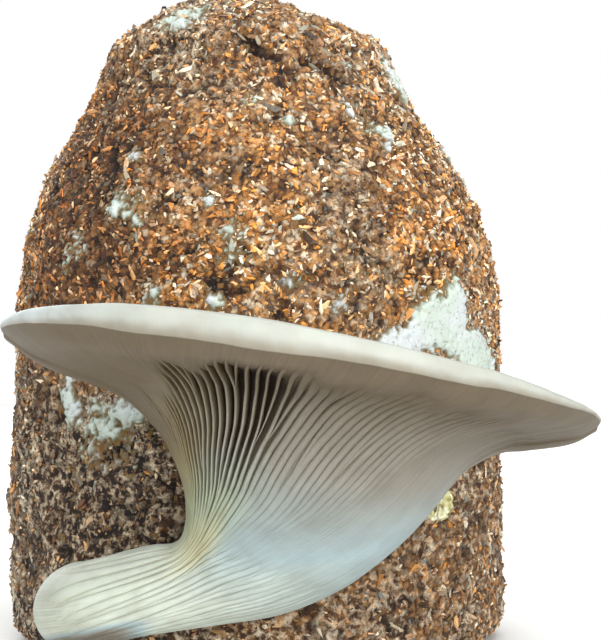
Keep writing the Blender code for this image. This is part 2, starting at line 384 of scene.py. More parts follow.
def store(piece, name, values, kind="FLOAT"):
    """Stores one number, vector or colour for each point of a piece, for its material to read."""
    values = np.asarray(values, dtype=np.float32)
    if kind == "FLOAT_COLOR":
        values = np.concatenate([values, np.ones((len(values), 1), np.float32)], axis=1)
    field = {"FLOAT": "value", "FLOAT_VECTOR": "vector", "FLOAT_COLOR": "color"}[kind]
    piece.data.attributes.new(name, kind, "POINT").data.foreach_set(field, values.ravel())


def store_grain(piece, places):
    """Stores a flat place for each point, which the wood's grain is drawn along."""
    layer = piece.data.uv_layers.new(name="Grain")
    corners = np.zeros(len(piece.data.loops), np.int32)
    piece.data.loops.foreach_get("vertex_index", corners)
    layer.data.foreach_set("uv", np.asarray(places, np.float32)[corners].ravel())


def set_inputs(tree, node, inputs):
    """Gives each input of a node its value, or a link from another node's output."""
    for name, value in inputs.items():
        if isinstance(value, bpy.types.NodeSocket):
            tree.links.new(value, node.inputs[name])
        else:
            node.inputs[name].default_value = value


def add_node(tree, kind, inputs=None, stops=(), **settings):
    """Adds a node with its settings and inputs. A ramp's stops are places, each with a colour."""
    node = tree.nodes.new(kind)
    for name, value in settings.items():
        setattr(node, name, value)
    if stops:
        elements = node.color_ramp.elements
        elements[0].position = stops[0][0]
        elements[1].position = stops[-1][0]
        for place, _ in stops[1:-1]:
            elements.new(place)
        for element, (_, rgb) in zip(elements, stops):
            element.color = (*rgb, 1.0)
    set_inputs(tree, node, inputs or {})
    return node


def new_material(name, **constants):
    """A material with one Principled shader and its plain numbers."""
    material = bpy.data.materials.new(name)
    material.use_nodes = True
    tree = material.node_tree
    shader = tree.nodes["Principled BSDF"]
    set_inputs(tree, shader, {socket.replace("_", " "): value for socket, value in constants.items()})
    return material, tree, shader


def lay_coats(tree, colour, coats):
    """A colour under coats, each with its share, its way of mixing, its pattern and colour stops."""
    for share, way, pattern, stops in coats:
        coat = add_node(tree, "ShaderNodeValToRGB", {"Fac": pattern}, stops).outputs["Color"]
        mix = {"Factor": share, FIRST_COLOUR: colour, SECOND_COLOUR: coat}
        colour = add_node(tree, "ShaderNodeMix", mix, data_type="RGBA", blend_type=way).outputs[MIXED]
    return colour


def per_mm(size):
    """A pattern's scale for lumps of a size in millimetres, where the places are in metres."""
    return 1.0 / (size * MM)


# ---- the block's own surface ----


def block_tree():
    """The faces of the block's solid, in millimetres, for rays to hit."""
    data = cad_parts[BLOCK].data
    points = [vertex.co / MM for vertex in data.vertices]
    return BVHTree.FromPolygons(points, [list(face.vertices) for face in data.polygons])


def block_height():
    low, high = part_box(BLOCK)
    return (high.z - low.z) / MM


def ray_from_axis(climb, angle, height):
    """Where the ray to the skin starts and points. It climbs from 0 at the base to 2 at the top."""
    start = Vector((0.0, 0.0, max(0.15, FAN_SHARE * height * min(climb, 1.0))))
    steep = math.radians(90.0 * max(0.0, climb - 1.0))
    level = math.cos(steep)
    return start, Vector((math.sin(angle) * level, -math.cos(angle) * level, math.sin(steep)))


def skin_point(tree, climb, angle, height):
    """Where a ray from the axis leaves the block's solid."""
    hit = tree.ray_cast(*ray_from_axis(climb, angle, height))[0]
    if hit is None:
        raise RuntimeError("a ray from the block's axis missed its solid")
    return hit


@functools.cache
def block_surface():
    """Points and outward directions of the solid's skin, on an even grid of rows and columns."""
    tree, height = block_tree(), block_height()
    climbs = np.linspace(0.0, TOP_CLIMB, TRIAL_CLIMBS)
    steps = np.zeros(len(climbs) - 1)
    for angle in np.linspace(0, 2 * math.pi, 6, endpoint=False):
        line = np.array([skin_point(tree, climb, angle, height) for climb in climbs])
        steps += np.linalg.norm(np.diff(line, axis=0), axis=1)
    along = np.concatenate([[0.0], np.cumsum(steps)])
    even = np.interp(np.linspace(0, along[-1], SKIN_ROWS), along, climbs)
    angles = np.linspace(0, 2 * math.pi, SKIN_COLUMNS, endpoint=False)
    points = np.array([[skin_point(tree, climb, angle, height) for angle in angles] for climb in even])
    round_step = np.roll(points, -1, axis=1) - np.roll(points, 1, axis=1)
    up_step = np.gradient(points, axis=0)
    outward = unit(np.cross(round_step, up_step))
    outward[-1] = (0.0, 0.0, 1.0)
    return points, outward


def at_skin(grid, row, column):
    """A grid's values between its rows and columns."""
    low_row = np.clip(row.astype(int), 0, SKIN_ROWS - 2)
    low_column = column.astype(int) % SKIN_COLUMNS
    next_column = (low_column + 1) % SKIN_COLUMNS
    shape = (-1,) + (1,) * (grid.ndim - 2)
    up = (row - low_row).reshape(shape)
    side = (column - np.floor(column)).reshape(shape)
    lower = grid[low_row, low_column] * (1 - side) + grid[low_row, next_column] * side
    upper = grid[low_row + 1, low_column] * (1 - side) + grid[low_row + 1, next_column] * side
    return lower * (1 - up) + upper * up


def round_block(points):
    """Each point's angle round the block, its height, and the millimetres of a degree round there."""
    arc = math.radians(1.0) * np.linalg.norm(points[:, :2], axis=1)
    return np.degrees(np.arctan2(points[:, 0], -points[:, 1])), points[:, 2], arc


def distances(points, patches):
    """How far each point is from each patch, in squared half sizes, with what the patch says."""
    angle, height, arc = round_block(points)
    for at_angle, at_height, half_width, half_height, *says in patches:
        turn = (angle - at_angle + 180.0) % 360.0 - 180.0
        yield (turn * arc / half_width) ** 2 + ((height - at_height) / half_height) ** 2, says


def crack_depth(points):
    """How far the cracks between clods go in at each point."""
    angle, height, arc = round_block(points)
    wander = noise_at(points, 5.0, 31.0) * 1.6
    depth = np.zeros(len(points))
    for (from_angle, from_height), (to_angle, to_height), deep, half_width in CRACKS:
        across = (angle - from_angle) * arc
        up = height - from_height
        run, climb = (to_angle - from_angle) * arc, to_height - from_height
        share = np.clip((across * run + up * climb) / (run**2 + climb**2), 0.0, 1.0)
        away = np.hypot(across - share * run, up - share * climb + wander)
        ends = np.sin(np.pi * np.clip(share, 0.02, 0.98)) ** 0.5
        depth = np.maximum(depth, deep * ends * np.exp(-((away / half_width) ** 2)))
    return depth


@functools.cache
def block_relief():
    """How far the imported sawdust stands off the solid, for each point of the grid."""
    points = block_surface()[0]
    flat = points.reshape(-1, 3)
    relief = sum(height * noise_at(flat, size, 3.0 + size) for size, height in LUMPS)
    crease = np.exp(-((noise_at(flat, CREASE_SIZE, 31.0) / CREASE_WIDTH) ** 2))
    relief -= crack_depth(flat) + CREASE_DEPTH * crease
    steady = smooth_step(0.0, 3.0, flat[:, 2])
    return (relief * steady - RELIEF_SINK).reshape(points.shape[:2])


@functools.cache
def packed_skin():
    """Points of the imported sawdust's skin, on the solid's grid."""
    points, outward = block_surface()
    skin = points + outward * block_relief()[..., None]
    skin[..., 2] = np.maximum(skin[..., 2], 0.0)
    return skin


def felt_cover(points):
    """How thickly mycelium covers each point: below 0 is bare, and 1 and over is a whole felt."""
    cover = np.full(len(points), BARE_COVER)
    for far, (strength,) in distances(points, FELT_PATCHES):
        cover += strength * np.exp(-(far**1.5) * 0.7)
    ragged = 0.45 * noise_at(points, 3.4, 8.0) + 0.65 * noise_at(points, 1.4, 5.0)
    ragged += 0.50 * noise_at(points, 0.8, 2.0)
    return cover + ragged


def wood_casts(points):
    """How golden, how grey and how wet the wood is in its zones, at each point."""
    casts = np.zeros((3, len(points)))
    for far, cast in distances(points, WOOD_ZONES):
        casts += np.array(cast)[:, None] * np.exp(-far)
    return casts


def veiled(points):
    """How grey the wood is at each point: low on the block, at its neck, and in clouds between."""
    height = points[:, 2]
    cloud = smooth_step(0.0, 0.5, noise_at(points, 15.0, 12.0) + 0.3 * noise_at(points, 5.0, 1.0))
    front = np.exp(-(((round_block(points)[0] + 35.0) / 50.0) ** 2))
    low = smooth_step(70.0, 52.0, height) * (0.45 + 0.55 * front)
    neck = smooth_step(112.0, 134.0, height)
    return np.clip(0.30 * cloud + 0.85 * low + 0.20 * neck + wood_casts(points)[1], 0.0, 1.0)


def build_block_skin(settings):
    """The fine sawdust that is packed between the chips, with its flat base."""
    skin = packed_skin()
    rows = [skin[0] * np.array((share, share, 0.0)) for share in np.linspace(0.08, 0.98, BASE_ROWS)]
    points = np.concatenate([np.array(rows), skin])
    faces = closed_faces(len(points), SKIN_COLUMNS)
    piece = new_piece("packed_sawdust", points * MM, faces, packed_sawdust_material(settings))
    store(piece, "veil", veiled(points.reshape(-1, 3)))
    golden, _, soaked = wood_casts(points.reshape(-1, 3))
    store(piece, "gold", 0.5 + 0.7 * golden)
    store(piece, "wet", np.clip(soaked, 0.0, 1.0))
    relief = np.concatenate([np.zeros((BASE_ROWS, SKIN_COLUMNS)), block_relief()])
    # Painted shade of the hollows: the lower the sawdust lies in its relief, the darker it is painted.
    store(piece, "hollow_shade", smooth_step(-0.5, -2.2, relief.ravel()))
    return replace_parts(piece, BLOCK)


def chip_colours(points, relief, cover, settings, rng):
    """A colour for each chip, from wood kinds that gather in clusters."""
    golden, _, soaked = wood_casts(points)
    rich = 0.8 * noise_at(points, 11.0, 2.0) + 0.6 * noise_at(points, 4.0, 6.0) + 0.8 * golden
    gold = smooth_step(-0.25, 0.30, rich)
    pale = smooth_step(-0.05, 0.40, noise_at(points, 7.0, 16.0) + 0.7 * noise_at(points, 2.8, 9.0))
    damp = noise_at(points, 5.0, 26.0) + 0.5 * noise_at(points, 2.4, 19.0) + 0.25 * soaked
    wet = smooth_step(0.05, 0.40, damp)
    veil = veiled(points)
    often = {
        "dark": 0.09 + 0.08 * veil + 0.26 * wet,
        "brown": 0.24 - 0.08 * gold,
        "tan": 0.24 + 0.05 * veil,
        "golden": (0.02 + 0.70 * gold) * (1 - 0.85 * veil) * (1 - 0.6 * wet),
        "cream": (0.07 + 0.42 * pale) * (1 - 0.3 * veil) * (1 - 0.5 * wet),
        "grey": 0.02 + 0.30 * veil,
    }
    kinds = np.array([getattr(settings, kind) for kind in often])
    weights = np.stack(list(often.values()), axis=1)
    edges = np.cumsum(weights / weights.sum(1, keepdims=True), axis=1)
    pick = (rng.random(len(points))[:, None] > edges).sum(1).clip(0, len(kinds) - 1)
    blend = rng.random(len(points))[:, None] * 0.22
    mixed = kinds[pick] * (1 - blend) + kinds[rng.integers(0, len(kinds), len(points))] * blend
    film = (smooth_step(-0.50, 0.05, cover) * rng.uniform(0.2, 0.95, len(points)))[:, None]
    mixed = mixed * (1 - film) + np.array(settings.felt) * film
    lively = np.exp(rng.normal(0.04, 0.44, len(points)))
    soaking = np.exp(-np.clip(soaked, -0.3, 1.4)[:, None] * np.array((0.6, 0.85, 1.15)))
    low = smooth_step(72.0, 55.0, points[:, 2])
    shaded = (1 - 0.3 * low) * (1 - 0.75 * smooth_step(-0.9, -2.5, relief))
    bright = mixed * soaking * (lively * shaded)[:, None]
    return bright / np.maximum(1.0, bright.max(1, keepdims=True))


def chip_frames(normal, tilt, rng):
    """Lengthwise, sideways and upward directions of chips that lie on a face, each tilted a little."""
    count = len(normal)
    level = unit(np.cross((0.0, 0.0, 1.0), normal) + 1e-6)
    rise = np.cross(normal, level)
    spin = rng.normal(0.0, 0.9, count)[:, None] + math.pi / 2 * (rng.random(count) < 0.4)[:, None]
    lean, roll = np.tan(np.radians(rng.uniform(-tilt, tilt, (2, count, 1))))
    lengthwise = unit(level * np.cos(spin) + rise * np.sin(spin) + normal * lean)
    side = unit(np.cross(normal, lengthwise) + normal * roll)
    return lengthwise, side, unit(np.cross(lengthwise, side))


def lay_chips(kind, settings, rng):
    """One piece of chips of a kind, pressed into the skin at random."""
    sides, count, long, wide, thick, tilt = CHIP_KINDS[kind]
    count = int(count * settings.chip_share)
    skin = packed_skin()
    girth = np.linalg.norm(skin[..., :2], axis=2).mean(1) + 0.5
    row = rng.choice(SKIN_ROWS - 1, count, p=girth[:-1] / girth[:-1].sum()) + rng.random(count)
    column = rng.random(count) * SKIN_COLUMNS
    centre = at_skin(skin, row, column)
    cover = felt_cover(centre)
    bare = smooth_step(68.0, 52.0, centre[:, 2]) * PITTED_SHARE
    kept = (cover < 0.15 + 0.5 * rng.random(count)) & (centre[:, 2] > 0.4) & (rng.random(count) > bare)
    row, column, centre, cover = row[kept], column[kept], centre[kept], cover[kept]
    count = len(centre)
    lengthwise, side, up = chip_frames(unit(at_skin(block_surface()[1], row, column)), tilt, rng)

    size = settings.chip_size * np.exp(rng.normal(0.0, 0.28, count))
    half_long = (0.5 * long * size)[:, None]
    half_wide = (0.5 * long * wide * size * rng.uniform(0.6, 1.3, count))[:, None]
    half_thick = (0.5 * thick * rng.uniform(0.6, 1.5, count))[:, None]
    turn = 2 * np.pi * (np.arange(sides) + rng.uniform(-0.28, 0.28, (count, sides))) / sides
    reach = rng.uniform(0.55, 1.25, (count, sides))
    along, across = reach * np.cos(turn) * half_long, reach * np.sin(turn) * half_wide
    curl = rng.normal(0.0, 0.45, (count, 1)) * (along / half_long) ** 2 * half_wide
    rough = rng.uniform(-0.35, 0.35, (count, sides)) * half_thick
    sunk = rng.uniform(-0.25, 0.45, (count, 1)) * half_thick

    def ring(shrink, offset):
        flat = along[..., None] * shrink * lengthwise[:, None] + across[..., None] * shrink * side[:, None]
        return centre[:, None] + flat + offset[..., None] * up[:, None]

    top = ring(0.80, half_thick + sunk + curl + rough)
    points = np.concatenate([top, ring(1.0, sunk - half_thick + curl)], axis=1)
    points[..., 2] = np.maximum(points[..., 2], 0.02)
    each = 2 * sides
    tops = np.arange(sides)
    after = (tops + 1) % sides
    walls = np.stack([tops, tops + sides, after + sides, after], 1)
    faces = []
    for start in range(0, count * each, each):
        faces.append((tops + start).tolist())
        faces += (walls + start).tolist()
    points = points.reshape(-1, 3) * MM
    piece = new_piece(f"sawdust_{kind}", points, faces, wood_chip_material(), smooth=False)
    colours = chip_colours(centre, at_skin(block_relief(), row, column), cover, settings, rng)
    store(piece, "chip_colour", np.repeat(colours, each, axis=0), "FLOAT_COLOR")
    offset = rng.uniform(0.0, 400.0, (count, 1, 2))
    grain = np.stack([np.tile(along, (1, 2)), np.tile(across, (1, 2))], -1) + offset
    store_grain(piece, grain.reshape(-1, 2))
    return piece


def build_felt(settings):
    """Mycelium that has felted over the chips: a coat that rises through them in its patches."""
    points, outward = block_surface()
    rows, columns = 2 * SKIN_ROWS - 1, 2 * SKIN_COLUMNS
    row, column = np.meshgrid(np.linspace(0, SKIN_ROWS - 1, rows), np.arange(columns) / 2, indexing="ij")
    row, column = row.ravel(), column.ravel()
    skin = at_skin(packed_skin(), row, column)
    smooth = at_skin(points, row, column)
    cover = felt_cover(smooth)
    fluff = 0.22 * noise_at(smooth, 1.6, 4.0) + 0.16 * noise_at(smooth, 0.6, 9.0)
    thick = smooth_step(0.4, 1.2, cover)
    rise = settings.felt_height / MM * (1.7 * smooth_step(-0.15, 0.9, cover) - 0.7)
    rise += fluff * (1 - 0.8 * thick)
    evened = (0.3 + 0.5 * thick)[:, None]
    coat = smooth * evened + skin * (1 - evened) + unit(at_skin(outward, row, column)) * rise[:, None]
    coat[:, 2] = np.maximum(coat[:, 2], 0.01)
    faces = grid_faces(rows, columns)
    faces = faces[cover[faces].max(1) > 0.0]
    used, place = np.unique(faces, return_inverse=True)
    faces = place.reshape(-1, 4).tolist()
    piece = new_piece("mycelium_felt", coat[used] * MM, faces, felt_material(settings))
    store(piece, "cover", np.clip(cover[used], 0.0, 1.5))
    return piece


# ---- the mushroom's form ----


def glide(rows, place):
    """Rows of values at places between them, on a Catmull-Rom curve."""
    rows = np.asarray(rows, float)
    last = len(rows) - 1
    index = np.clip(np.floor(place).astype(int), 0, last - 1)
    t = (place - index)[..., None]
    one, two = rows[index], rows[index + 1]
    before = np.where((index == 0)[..., None], 2 * one - two, rows[np.maximum(index - 1, 0)])
    after = np.where((index == last - 1)[..., None], 2 * two - one, rows[np.minimum(index + 2, last)])
    bend = 2 * before - 5 * one + 4 * two - after
    twist = 3 * one - before - 3 * two + after
    return one + 0.5 * ((two - before) * t + bend * t**2 + twist * t**3)


def section(place, angle):
    """Points of the mushroom's sections, by place along the stations and angle round them."""
    place, angle = np.broadcast_arrays(np.asarray(place, float), np.asarray(angle, float))
    in_x, in_z, out_x, out_z, y, front, back, rise, turn = np.moveaxis(glide(STATIONS, place), -1, 0)
    across, around = np.cos(angle), np.sin(angle)
    reach = np.where(around > 0, front, back) * around
    turned = np.radians(turn)
    lift = rise * np.sign(around) * np.abs(around) ** RISE_POWER
    x = (in_x + out_x) / 2 + (out_x - in_x) / 2 * across + reach * np.sin(turned)
    z = (in_z + out_z) / 2 + (out_z - in_z) / 2 * across + lift
    return np.stack([x, y - reach * np.cos(turned), z], -1)


def section_angle(place, angle):
    """Angle round the section at a place, for a line that leaves the stem's foot at an angle."""
    place, angle = np.broadcast_arrays(np.asarray(place, float), np.asarray(angle, float))
    swing, spread = np.moveaxis(np.radians(glide(np.stack([GILL_SWING, GILL_SPREAD], 1), place)), -1, 0)
    return angle + swing * np.sin(angle) + spread * np.sin(2 * angle)


def flow(place, angle):
    """Points along the lines that the gills follow from the stem, at angle 0 to 2 pi, to the margin."""
    return section(place, section_angle(place, angle))


def flow_frame(place, angle):
    """Points on the flow lines, with the way out of the flesh, the way along, and mm per radian round."""
    small = 0.01
    up_step = flow(np.minimum(place + small, MARGIN), angle) - flow(np.maximum(place - small, 0.0), angle)
    round_step = (flow(place, angle + small) - flow(place, angle - small)) / (2 * small)
    outward = unit(np.cross(up_step, round_step))
    return flow(place, angle), outward, unit(up_step), np.linalg.norm(round_step, axis=-1)


def gill_reach(place, angle):
    """How far the gills stand off the flesh, and how far they would if they did not end."""
    degrees = np.degrees(angle) % 360.0
    deep = 0.72 * window(degrees, 92.0, 103.0, 120.0, 138.0)
    wide = 0.28 * np.exp(-(((degrees - 106.0) / 44.0) ** 4))
    back = 0.30 * window(degrees, 190.0, 220.0, 320.0, 345.0)
    stem = smooth_step(6.5, 4.5, place) * (0.68 + 0.32 * np.sin(61.0 * angle) * np.sin(23.0 * angle))
    share = np.maximum(np.maximum(deep + wide, 0.06 + back), stem)
    early = 2.0 * smooth_step(100.0, 130.0, degrees) - 0.6 * smooth_step(98.0, 84.0, degrees)
    height = np.interp(place + early * smooth_step(5.0, 7.5, place), range(len(GILL_REACH)), GILL_REACH)
    ragged = 0.35 * np.sin(19 * angle) + 0.40 * np.sin(37 * angle + 1.0)
    end = 12.7 - 2.8 * smooth_step(102.0, 132.0, degrees) - 0.6 * smooth_step(97.0, 88.0, degrees)
    end = np.minimum(end + ragged, GILLS_END - 0.2)
    return height * share * smooth_step(end, end - 2.7, place), height * share


def flesh_tone(place, angle):
    """Where the underside lies on the flesh's colours: from 0 on the stem to UNDER_TONE by the margin,
    the painted shade under the cap, with a painted bluish shadow side low on the right and a painted
    shadow under the foot, where it rests on the block."""
    degrees = np.degrees(angle) % 360.0
    left = window(degrees, 104.0, 150.0, 215.0, 270.0)
    right = smooth_step(75.0, 35.0, degrees) + smooth_step(300.0, 340.0, degrees)
    # Painted shade: the flesh low on the right is painted bluish and darker, as the shadow side lit by the
    # sky.
    shadow_side = smooth_step(104.0, 74.0, degrees) + smooth_step(290.0, 330.0, degrees)
    middle = window(degrees, 10.0, 75.0, 88.0, 102.0)
    start = 4.0 - left + right - 1.5 * middle
    tone = UNDER_TONE * smooth_step(start, 12.3 - 1.8 * left - 0.8 * right, place)
    tone = np.maximum(tone, BELLY_TONE * shadow_side * smooth_step(3.0, 7.5, place))
    # Painted shadow on the foot's lower side, where it rests on the block.
    foot_shadow = window(place, 0.2, 0.9, 2.4, 3.2)
    return np.maximum(tone, FOOT_SHADOW_TONE * foot_shadow * smooth_step(0.50, 0.75, np.cos(angle)))


def flesh_stain(place, angle):
    """How far the flesh has yellowed: most on the bend that faces the block, a little on the gills."""
    degrees = np.degrees(angle) % 360.0
    bend = smooth_step(102.0, 132.0, degrees) * smooth_step(3.8, 5.5, place)
    bend *= 1.0 - 0.55 * smooth_step(8.0, 11.5, place)
    front = 0.8 * smooth_step(84.0, 104.0, degrees) * window(place, 3.0, 5.0, 6.5, 9.0)
    return np.maximum(bend, front) * smooth_step(235.0, 205.0, degrees)


def band_shade(points, angle, tones):
    """How much painted shade lies on the skin of the margin: more away from its left side, where the light
    falls.
    """
    degrees = np.degrees(angle) % 360.0
    # Painted shade: darker away from the left side of the band, where the light falls.
    side_shade = smooth_step(158.0, 112.0, degrees) + smooth_step(200.0, 260.0, degrees)
    mottled = 0.03 * noise_at(points, 3.5, 5.0) + 0.02 * noise_at(points, 1.2, 7.0)
    return np.clip(0.14 * side_shade + mottled, 0.0, 1.0) * smooth_step(0.95, 0.75, tones)


def fibre_places(angle, place):
    """Places that the flesh's fibres are drawn in: close together round it and long along it."""
    return np.stack([np.cos(angle), np.sin(angle), place * FIBRE_STEP], -1).reshape(-1, 3)


def mushroom_unit():
    """Metres for each millimetre of the stations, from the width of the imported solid."""
    low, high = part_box(MUSHROOM)
    return (high.x - low.x) / (STATIONS[-1][2] - STATIONS[-1][0])


def grown_lift(points, place):
    """The small unevenness of grown flesh, as a rise for each point. The foot stays even."""
    lumps = 0.22 * noise_at(points, 13.0, 21.0) + 0.08 * noise_at(points, 3.5, 17.0)
    folds = 0.55 * noise_at(points, 15.0, 5.0) * smooth_step(11.0, 13.0, place)
    return lumps * smooth_step(1.0, 4.0, place) + folds


def margin_edge(angle):
    """Thickness of the cap's edge, which swells between its two sharp tips."""
    around = np.sin(angle)
    swell = np.where(around > 0, MARGIN_SWELL_FRONT, MARGIN_SWELL_BACK)
    skew = -MARGIN_SKEW * np.cos(angle) * np.abs(around)
    return MARGIN_THICKNESS + swell * np.abs(around) ** MARGIN_SWELL_POWER + skew


def evened(heights, reach):
    """Heights round a ring, each averaged with its neighbours as far as the reach on either side."""
    weight = np.hanning(2 * reach + 3)[1:-1]
    ring = np.concatenate([heights[-reach:], heights, heights[:reach]])
    return np.convolve(ring, weight / weight.sum(), "valid")


def margin_and_top(rim, angles):
    """Rows of points over the rolled margin and in over the dished top, and their tones."""
    away = unit((rim - CAP_EYE) * np.array((1.0, 1.0, 0.0)))
    around = section_angle(MARGIN, angles)
    away *= np.abs(np.sin(around))[:, None] ** TIP_SHARPNESS
    edge = margin_edge(around)
    rows, tones = [], []
    for share in np.linspace(0.0, 1.0, ROLL_ROWS + 2)[1:-1]:
        row = rim + away * MARGIN_OVERHANG * math.sin(math.pi * share) ** 0.75
        row[:, 2] += edge * share
        beads = FRINGE_BEADS * noise_at(row, 0.9, 2.0) * (share < FRINGE_SHARE)
        rows.append(row + away * beads[:, None])
        # The roll fades from the fringe's grey at its lower edge up to the cap's colour: partly the beaded
        # edge's own colour, partly painted shade where the roll faces down.
        pale = share + 0.16 * noise_at(row, 6.0, 3.0) + 0.08 * noise_at(row, 1.6, 4.0)
        tones.append(FRINGE_TONE + (BAND_TONE - FRINGE_TONE) * smooth_step(0.05, 0.6, pale))
    high = rim[:, 2] + edge
    level = evened(high, len(high) // 12)
    for share in np.linspace(0.0, CAP_LAST_ROW, CAP_ROWS) ** CAP_CROWDING:
        row = rim + (CAP_EYE - rim) * share
        dish = smooth_step(0.0, 1.0, share)
        crown = CAP_SHOULDER * math.sin(math.pi * min(1.0, share / SHOULDER_SPAN))
        settled = high + (level - high) * smooth_step(0.0, 0.15, share)
        row[:, 2] = settled + (CAP_EYE[2] - settled) * dish + crown
        rows.append(row)
        tones.append(np.full(len(row), BAND_TONE + (1.0 - BAND_TONE) * share))
    return np.array(rows), np.array(tones)


def build_flesh(settings):
    """The whole mushroom but its gills: stem, underside, rolled margin and dished top."""
    angles = np.linspace(0, 2 * np.pi, FLESH_COLUMNS, endpoint=False)
    place, angle = np.meshgrid(np.linspace(0.0, MARGIN, FLESH_ROWS), angles, indexing="ij")
    point, outward, _, _ = flow_frame(place, angle)
    reach, _ = gill_reach(place, angle)
    under = point - outward * reach[..., None]
    over, tones = margin_and_top(under[-1], angles)
    rows = FLESH_ROWS + len(over)
    points = np.concatenate([under, over]).reshape(-1, 3)
    folded = np.concatenate([np.linspace(MARGIN, TOP_PLACE, ROLL_ROWS), np.full(CAP_ROWS, TOP_PLACE)])
    places = np.concatenate([place.ravel(), np.repeat(folded, FLESH_COLUMNS)])
    points[:, 2] += grown_lift(points, places)

    faces = closed_faces(rows, FLESH_COLUMNS)
    material = oyster_material("fresh_oyster_flesh", settings, 0.45)
    piece = new_piece("mushroom_flesh", points * mushroom_unit(), faces, material)
    tones = tones.ravel()
    store(piece, "tone", np.concatenate([flesh_tone(place, angle).ravel(), tones]))
    band_shading = band_shade(points[place.size :], np.tile(angles, len(over)), tones)
    # Over the margin there are no gills, and the depth holds the painted shade of the margin's skin.
    store(piece, "depth", np.concatenate([reach.ravel() / GILL_DEEPEST, band_shading]))
    store(piece, "stain", np.concatenate([flesh_stain(place, angle).ravel(), np.zeros(len(tones))]))
    along = np.concatenate([place.ravel(), MARGIN + 8.0 * tones])
    store(piece, "fibre", fibre_places(np.tile(angles, rows), along), "FLOAT_VECTOR")
    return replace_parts(piece, MUSHROOM)


def gill_lines(count, rng):
    """Where each gill parts from its neighbours, and its angle and share of the turn further on."""
    age = np.array(GILL_ORDER)[np.arange(count) % len(GILL_ORDER)]
    parting, spread = np.array(GILL_PARTING)[age].T
    quarters = rng.permuted(np.tile(np.arange(4), (count // 4 + 1, 1)), axis=1).ravel()[:count]
    starts = parting + spread * ((quarters + rng.random(count)) / 2 - 1)
    places = np.linspace(0.0, MARGIN, 131)
    weight = smooth_step(-0.6, 2.4, places - starts[:, None]) + 0.001
    weight *= rng.uniform(0.88, 1.12, (count, 1))
    shares = weight / weight.sum(0)
    angles = 2 * np.pi * (np.cumsum(shares, axis=0) - shares / 2)
    return starts, places, angles, shares


def gill_blade(start, place, line, share):
    """Cross-sections of one gill from its parting to the margin, and the depth of each point."""
    point, outward, along, radius = flow_frame(place, line)
    side = unit(np.cross(outward, along))
    reach, endless = gill_reach(place, line)
    slim = smooth_step(0.5, 2.2, 0.6 * endless + 0.4 * reach)
    half = radius * 2 * np.pi * share * (BLADE_FULL - BLADE_SLIMMING * slim)
    begin = smooth_step(start - 0.5, start + 0.5, place)
    sunk = (1 - begin) * reach + 0.25 * smooth_step(0.30, 0.0, reach)
    sunk += 0.08 * noise_at(point, 1.6, 7.0) * slim
    rows, depths = [], []
    for out, by_width, by_height in GILL_PROFILE:
        drop = np.minimum(by_width * half, by_height * reach) + 0.3 * (by_height > 1.0)
        rows.append(point + side * (out * half)[:, None] - outward * (sunk + drop)[:, None])
        depths.append(np.minimum(drop + sunk, reach) / GILL_DEEPEST)
    around = line[:, None] + np.array(GILL_PROFILE)[:, 0] * (half / radius)[:, None]
    return np.stack(rows, 1), np.stack(depths, 1), around


def build_gills(settings, rng):
    """The gills: plates whose edges lie on the solid's skin and whose feet are in the flesh."""
    starts, places, angles, shares = gill_lines(settings.gill_count, rng)
    pitch = 2 * np.pi / shares.shape[0]
    made = {"points": [], "faces": [], "place": [], "depth": [], "around": []}
    total = 0
    for index, start in enumerate(starts):
        steps = int(8 + (MARGIN - start) * BLADE_ROWS)
        place = np.linspace(max(GILLS_START, start - 0.45), GILLS_END, steps)
        line = np.interp(place, places, angles[index])
        wander = noise_at(np.stack([np.cos(line) * 1.6, np.sin(line) * 1.6, place * 0.4], -1), 1.0, 3.0)
        joining = rng.choice((-0.6, 0.6)) * smooth_step(start + 1.8, start - 0.4, place) * (start > 2.5)
        line = line + 0.03 * wander + joining * pitch
        share = np.interp(place, places, shares[index])
        blade, depth, around = gill_blade(start, place, line, share)
        made["points"].append(blade.reshape(-1, 3))
        made["faces"].append(grid_faces(*depth.shape, total, closed=False))
        made["place"].append(np.repeat(place, depth.shape[1]))
        made["depth"].append(depth.ravel())
        made["around"].append(around.ravel())
        total += depth.size
    points, faces, place, depth, around = (np.concatenate(parts) for parts in made.values())
    points[:, 2] += grown_lift(points, place)
    material = oyster_material("fresh_oyster_gill", settings, 0.25)
    piece = new_piece("gills", points * mushroom_unit(), faces.tolist(), material)
    store(piece, "tone", flesh_tone(place, around))
    store(piece, "depth", depth)
    store(piece, "stain", flesh_stain(place, around))
    store(piece, "fibre", fibre_places(around, place), "FLOAT_VECTOR")
    return piece


# ---- the stunted pins ----


